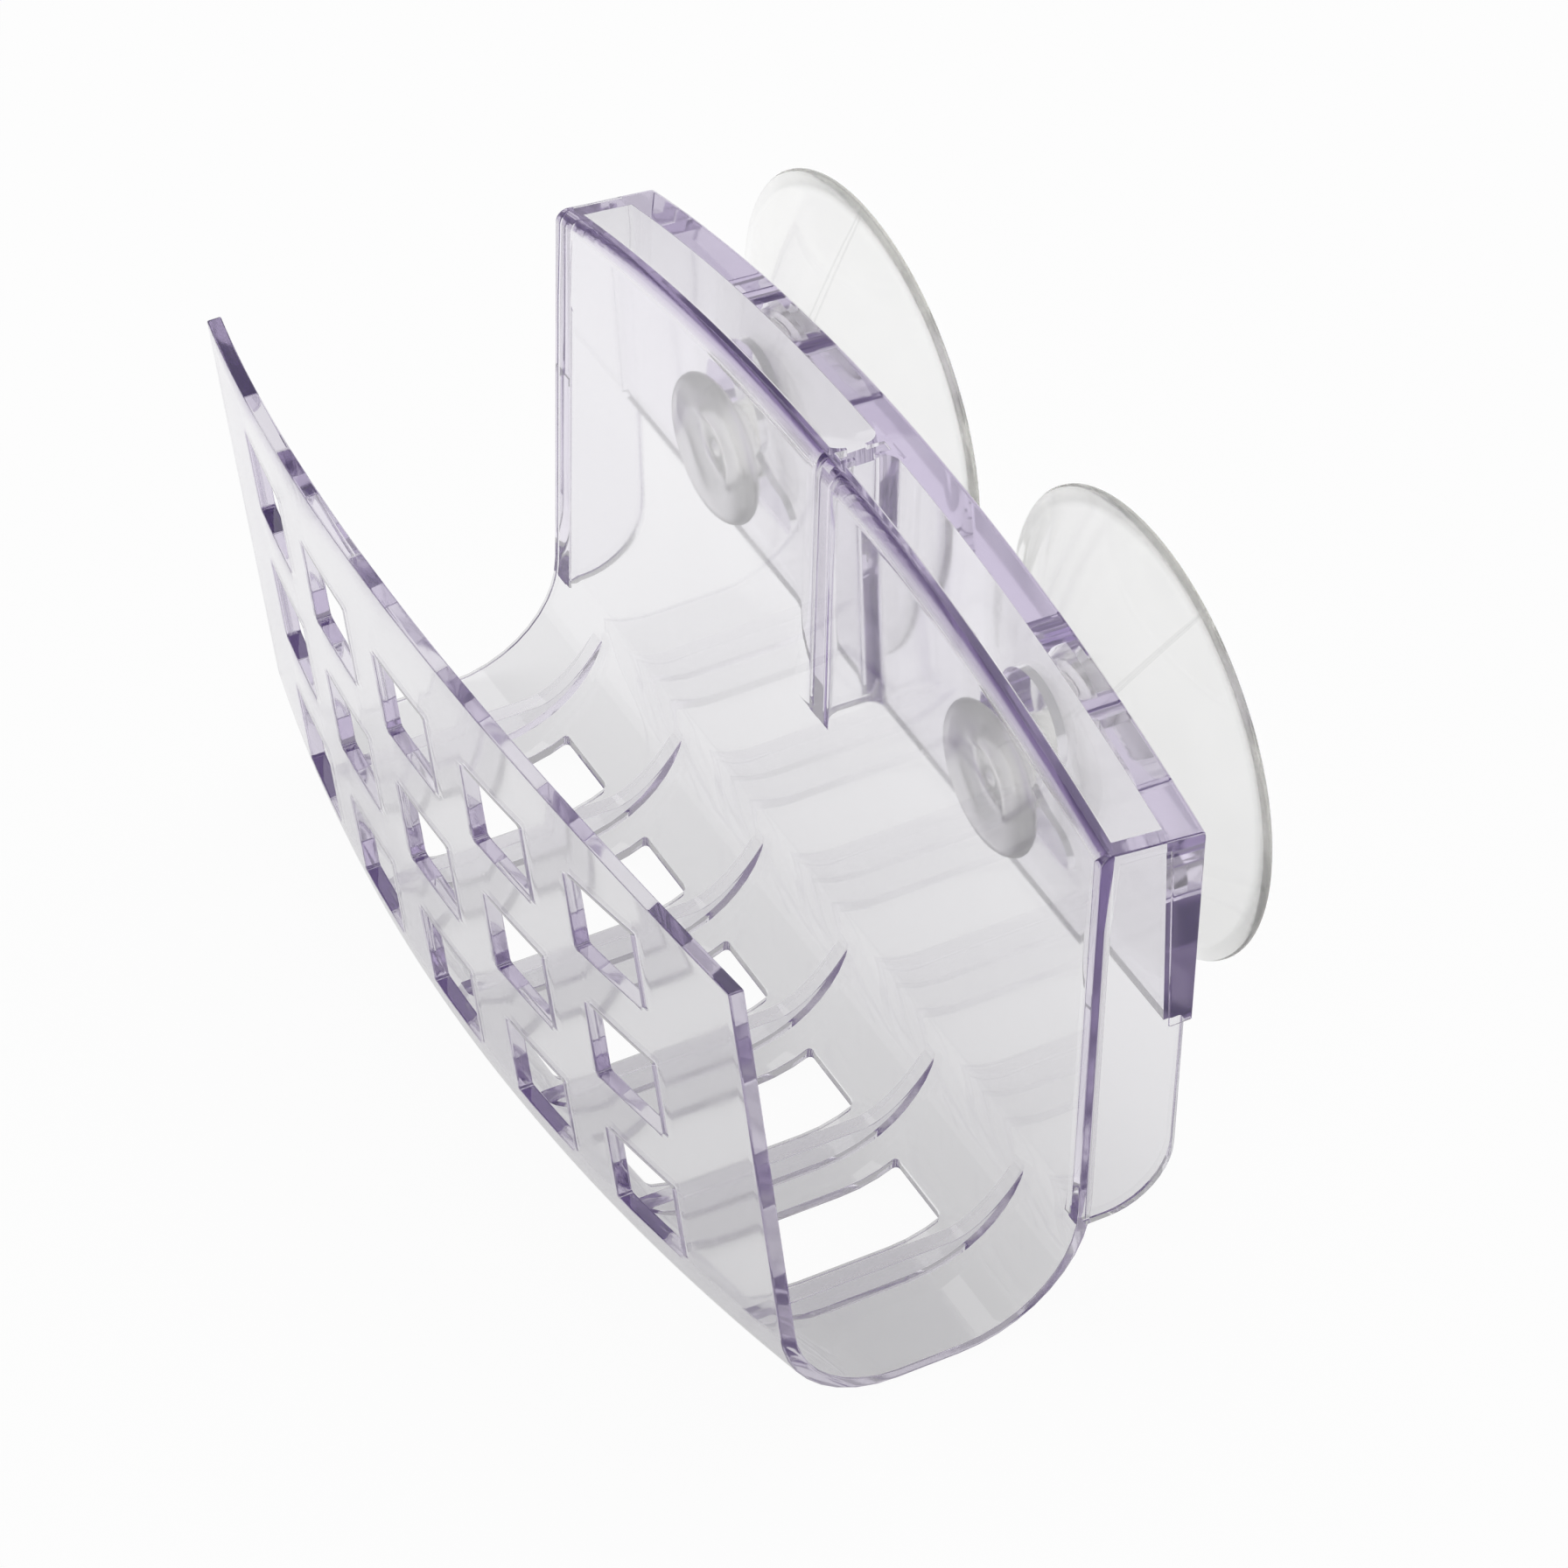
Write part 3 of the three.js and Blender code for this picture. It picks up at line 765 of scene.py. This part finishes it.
# %% Clear plastic: uneven gloss and a faint ripple
place = nodes.new("ShaderNodeTexCoord")
haze = nodes.new("ShaderNodeTexNoise")
haze.inputs["Scale"].default_value = 90
haze.inputs["Detail"].default_value = 4
links.new(place.outputs["Object"], haze.inputs["Vector"])
gloss = nodes.new("ShaderNodeMapRange")
gloss.inputs["From Min"].default_value = 0.35
gloss.inputs["From Max"].default_value = 0.75
gloss.inputs["To Min"].default_value = 0.03
gloss.inputs["To Max"].default_value = 0.07
links.new(haze.outputs["Fac"], gloss.inputs["Value"])
links.new(gloss.outputs["Result"], shader.inputs["Roughness"])
waves = nodes.new("ShaderNodeTexNoise")
waves.inputs["Scale"].default_value = 70
waves.inputs["Detail"].default_value = 1
links.new(place.outputs["Object"], waves.inputs["Vector"])
ripple = nodes.new("ShaderNodeBump")
ripple.inputs["Strength"].default_value = 0.01
ripple.inputs["Distance"].default_value = 0.1 * MM
links.new(waves.outputs["Fac"], ripple.inputs["Height"])
links.new(ripple.outputs["Normal"], shader.inputs["Normal"])
print("clear plastic nodes:", len(nodes))

# %% [markdown]
# ## Milky vinyl
# The cups are soft vinyl that lets light through but blurs it, more at the thick head than at the thin bell,
# with a faint warm cast where the light runs a long way. So roughness follows the depth.
# A fine mould line runs out over the bell of each cup. Its place is worked out from the Object coordinates,
# because a line that is cut into the mesh would need faces far finer than the rest of the cup.

# %% Helpers: a Math node in one line, and the mould line of a cup
LINE_HALF = 0.16
LINE_START = 8


def maths(nodes, links, operation, *values):
    node = nodes.new("ShaderNodeMath")
    node.operation = operation
    for socket, value in zip(node.inputs, values):
        if isinstance(value, (int, float)):
            socket.default_value = value
        else:
            links.new(value, socket)
    return node.outputs[0]


def mould_line(nodes, links, axes, centre_x, degrees):
    angle = math.radians(degrees)
    across = maths(nodes, links, "SUBTRACT", axes.outputs["X"], centre_x * MM)
    out_part = maths(nodes, links, "MULTIPLY", across, math.cos(angle))
    along = maths(nodes, links, "MULTIPLY_ADD", axes.outputs["Z"], math.sin(angle), out_part)
    side_part = maths(nodes, links, "MULTIPLY", across, -math.sin(angle))
    beside = maths(nodes, links, "MULTIPLY_ADD", axes.outputs["Z"], math.cos(angle), side_part)
    aside = maths(nodes, links, "ABSOLUTE", beside)
    near = maths(nodes, links, "LESS_THAN", aside, LINE_HALF * MM)
    outside = maths(nodes, links, "GREATER_THAN", along, LINE_START * MM)
    return maths(nodes, links, "MULTIPLY", near, outside)


print(f"mould line {2 * LINE_HALF:.2f} mm wide, from {LINE_START} mm out")

# %% Helper: values that change from a cup's head to its bell
HEAD_DEPTH = -14
BELL_DEPTH = -8


def head_to_bell(nodes, links, axes, at_head, at_bell):
    blend = nodes.new("ShaderNodeMapRange")
    blend.inputs["From Min"].default_value = HEAD_DEPTH * MM
    blend.inputs["From Max"].default_value = BELL_DEPTH * MM
    blend.inputs["To Min"].default_value = at_head
    blend.inputs["To Max"].default_value = at_bell
    links.new(axes.outputs["Y"], blend.inputs["Value"])
    return blend.outputs["Result"]


print(f"head and bell blend over {BELL_DEPTH - HEAD_DEPTH} mm")

# %% Milky vinyl
def milky_vinyl(name, centre_x, line_degrees):
    material, nodes, links, shader, output = new_material(name)
    shader.inputs["IOR"].default_value = 1.42
    place = nodes.new("ShaderNodeTexCoord")
    axes = nodes.new("ShaderNodeSeparateXYZ")
    links.new(place.outputs["Object"], axes.inputs[0])
    links.new(head_to_bell(nodes, links, axes, 0.98, 0.97), shader.inputs["Transmission Weight"])
    links.new(head_to_bell(nodes, links, axes, 0.3, 0.08), shader.inputs["Roughness"])
    cloud = nodes.new("ShaderNodeTexNoise")
    cloud.inputs["Scale"].default_value = 120
    cloud.inputs["Detail"].default_value = 5
    links.new(place.outputs["Object"], cloud.inputs["Vector"])
    milk = nodes.new("ShaderNodeValToRGB")
    milk.color_ramp.elements[0].position = 0.3
    milk.color_ramp.elements[0].color = (0.965, 0.965, 0.96, 1)
    milk.color_ramp.elements[1].position = 0.75
    milk.color_ramp.elements[1].color = (0.995, 0.995, 0.99, 1)
    links.new(cloud.outputs["Fac"], milk.inputs["Fac"])
    on_line = mould_line(nodes, links, axes, centre_x, line_degrees)
    shade = nodes.new("ShaderNodeMix")
    shade.data_type = "RGBA"
    shade.blend_type = "MULTIPLY"
    links.new(on_line, shade.inputs["Factor"])
    # A Mix node has A and B once for each kind of value: 6 and 7 are the colours, and 2 is the mixed colour.
    links.new(milk.outputs["Color"], shade.inputs[6])
    shade.inputs[7].default_value = (0.86, 0.86, 0.86, 1)
    links.new(shade.outputs[2], shader.inputs["Base Color"])
    seam = nodes.new("ShaderNodeBump")
    seam.inputs["Strength"].default_value = 0.6
    seam.inputs["Distance"].default_value = 0.2 * MM
    links.new(on_line, seam.inputs["Height"])
    links.new(seam.outputs["Normal"], shader.inputs["Normal"])
    tint = nodes.new("ShaderNodeVolumeAbsorption")
    tint.inputs["Color"].default_value = (0.6, 0.59, 0.5, 1)
    tint.inputs["Density"].default_value = 8
    links.new(tint.outputs["Volume"], output.inputs["Volume"])
    print(name, "nodes:", len(nodes))
    return material


for name, side, line_degrees in (("left", -1, 92), ("right", 1, 66)):
    cups[name].data.materials.clear()
    cups[name].data.materials.append(milky_vinyl(f"milky_vinyl_{name}", side * CUP_X, line_degrees))

# %% [markdown]
# ## Hang the pieces on the frame
# Each piece rides on the body that it belongs to, stands for one solid of the part
# and takes the name of that solid's finish. The cups slide in their keyholes, so each rides on its own body.

# %% Hang the pieces on the frame
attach(dish, "dish")
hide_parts("dish")
for name, obj in cups.items():
    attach(obj, f"cup_{name}")
    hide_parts(f"suction_cup_{name}")
print("pieces hung:", 1 + len(cups))

# %% [markdown]
# ## Studio
# Clear plastic is only as white as what stands behind it, so the floor and the surround decide its look.
# A Light Path node tells them who is looking. The camera sees an even white, and light that comes through
# the plastic sees a floor that is brighter towards the far left, where the photograph shows it lightest.
# Lamps alone would need a much larger set to give the same.

# %% Floor
FLOOR_GAP = 0.2
FLOOR_SIZE = 6
bm = bmesh.new()
bmesh.ops.create_grid(bm, x_segments=1, y_segments=1, size=FLOOR_SIZE)
bmesh.ops.translate(bm, verts=bm.verts[:], vec=Vector((0, 0, FLOOR - FLOOR_GAP)) * MM)
floor = as_object("studio_floor", bm)
print("floor at", round(FLOOR - FLOOR_GAP, 1), "mm")

# %% Paper that glows more towards the far left
def glow_share(nodes, links, to_camera, to_glass):
    path = nodes.new("ShaderNodeLightPath")
    glass = maths(nodes, links, "MAXIMUM", path.outputs["Is Glossy Ray"], path.outputs["Is Transmission Ray"])
    glass_part = maths(nodes, links, "MULTIPLY", glass, to_glass)
    camera_part = maths(nodes, links, "MULTIPLY", path.outputs["Is Camera Ray"], to_camera)
    return maths(nodes, links, "MAXIMUM", glass_part, camera_part)


paper = bpy.data.materials.new("studio_paper")
paper.use_nodes = True
floor.data.materials.append(paper)
nodes, links = paper.node_tree.nodes, paper.node_tree.links
nodes.clear()
spot = nodes.new("ShaderNodeTexCoord")
ways = nodes.new("ShaderNodeSeparateXYZ")
links.new(spot.outputs["Object"], ways.inputs[0])
to_left = maths(nodes, links, "MULTIPLY", ways.outputs["X"], -0.6)
far_left = maths(nodes, links, "MULTIPLY_ADD", ways.outputs["Y"], 0.8, to_left)
falloff = nodes.new("ShaderNodeMapRange")
falloff.inputs["From Min"].default_value = -80 * MM
falloff.inputs["From Max"].default_value = 90 * MM
falloff.inputs["To Min"].default_value = 0.42
falloff.inputs["To Max"].default_value = 0.97
links.new(far_left, falloff.inputs["Value"])
matte = nodes.new("ShaderNodeBsdfDiffuse")
matte.inputs["Color"].default_value = (0.9, 0.9, 0.9, 1)
glow = nodes.new("ShaderNodeEmission")
mix = nodes.new("ShaderNodeMixShader")
links.new(glow_share(nodes, links, 0.95, falloff.outputs["Result"]), mix.inputs[0])
links.new(matte.outputs[0], mix.inputs[1])
links.new(glow.outputs[0], mix.inputs[2])
links.new(mix.outputs[0], nodes.new("ShaderNodeOutputMaterial").inputs["Surface"])
print("paper nodes:", len(nodes))

# %% Surround
world = bpy.data.worlds.new("studio_surround")
bpy.context.scene.world = world
world.use_nodes = True
nodes, links = world.node_tree.nodes, world.node_tree.links
nodes.clear()
soft = nodes.new("ShaderNodeBackground")
soft.inputs["Strength"].default_value = 0.5
white = nodes.new("ShaderNodeBackground")
white.inputs["Strength"].default_value = 1.0
mix = nodes.new("ShaderNodeMixShader")
links.new(glow_share(nodes, links, 1.0, 0.1), mix.inputs[0])
links.new(soft.outputs[0], mix.inputs[1])
links.new(white.outputs[0], mix.inputs[2])
links.new(mix.outputs[0], nodes.new("ShaderNodeOutputWorld").inputs["Surface"])
print("surround nodes:", len(nodes))

# %% [markdown]
# ## Lamps
# Two large softboxes give the soft shadows and the long reflections on the roof and the cups.
# Seen through the plastic they would show as hard white streaks, so they are hidden from transmitted rays.

# %% Lamps
LAMP_AIM = (0, -0.03, 0)


def softbox(name, place, size, watts):
    lamp = bpy.data.lights.new(name, "AREA")
    lamp.shape = "SQUARE"
    lamp.size = size
    lamp.energy = watts
    obj = bpy.data.objects.new(name, lamp)
    aim = (Vector(LAMP_AIM) - Vector(place)).to_track_quat("-Z", "Y")
    obj.matrix_world = Matrix.Translation(Vector(place)) @ aim.to_matrix().to_4x4()
    obj.visible_transmission = False
    bpy.context.scene.collection.objects.link(obj)


softbox("top_light", (-0.6, 0.4, 1.3), 1.6, 9)
softbox("side_light", (0.9, -0.9, 0.9), 1.2, 3)

# %% [markdown]
# ## Camera
# A long lens from the right, well above the dish, as in the photograph.
# A small roll lets the uprights lean a little. Light turns many times inside clear edges,
# so the paths are allowed many bounces: with too few, the edges turn black.

# %% Camera
AZIMUTH = math.radians(60.18)
ELEVATION = math.radians(42.22)
ROLL = math.radians(1.63)
DISTANCE = 838.8
PHOTO_PIXELS = 1792
FOCAL_PIXELS = 8782.0
SENSOR = 36

target = Vector((19.0, -37.7, -3.4)) * MM
level = math.cos(ELEVATION)
back = Vector((math.sin(AZIMUTH) * level, -math.cos(AZIMUTH) * level, math.sin(ELEVATION)))
flat_right = Vector((math.cos(AZIMUTH), math.sin(AZIMUTH), 0))
flat_up = back.cross(flat_right)
right = flat_right * math.cos(ROLL) + flat_up * math.sin(ROLL)
up = flat_up * math.cos(ROLL) - flat_right * math.sin(ROLL)
lens = bpy.data.cameras.new("camera")
lens.sensor_fit = "HORIZONTAL"
lens.sensor_width = SENSOR
lens.lens = SENSOR * FOCAL_PIXELS / PHOTO_PIXELS
lens.clip_start = 10 * MM
camera = bpy.data.objects.new("camera", lens)
turn = Matrix((right, up, back)).transposed().to_4x4()
camera.matrix_world = Matrix.Translation(target + back * DISTANCE * MM) @ turn
bpy.context.scene.collection.objects.link(camera)
bpy.context.scene.camera = camera
print("lens", round(lens.lens, 1), "mm")

# %% Colours as they are, and many bounces
BOUNCES = 128
bpy.context.scene.view_settings.view_transform = "Standard"
paths = bpy.context.scene.cycles
paths.max_bounces = BOUNCES
paths.transmission_bounces = BOUNCES
paths.glossy_bounces = BOUNCES
print("bounces:", paths.max_bounces)

# %% [markdown]
# ## A last update
# The scene is updated once more at the end.

# %% A last update
bpy.context.view_layer.update()
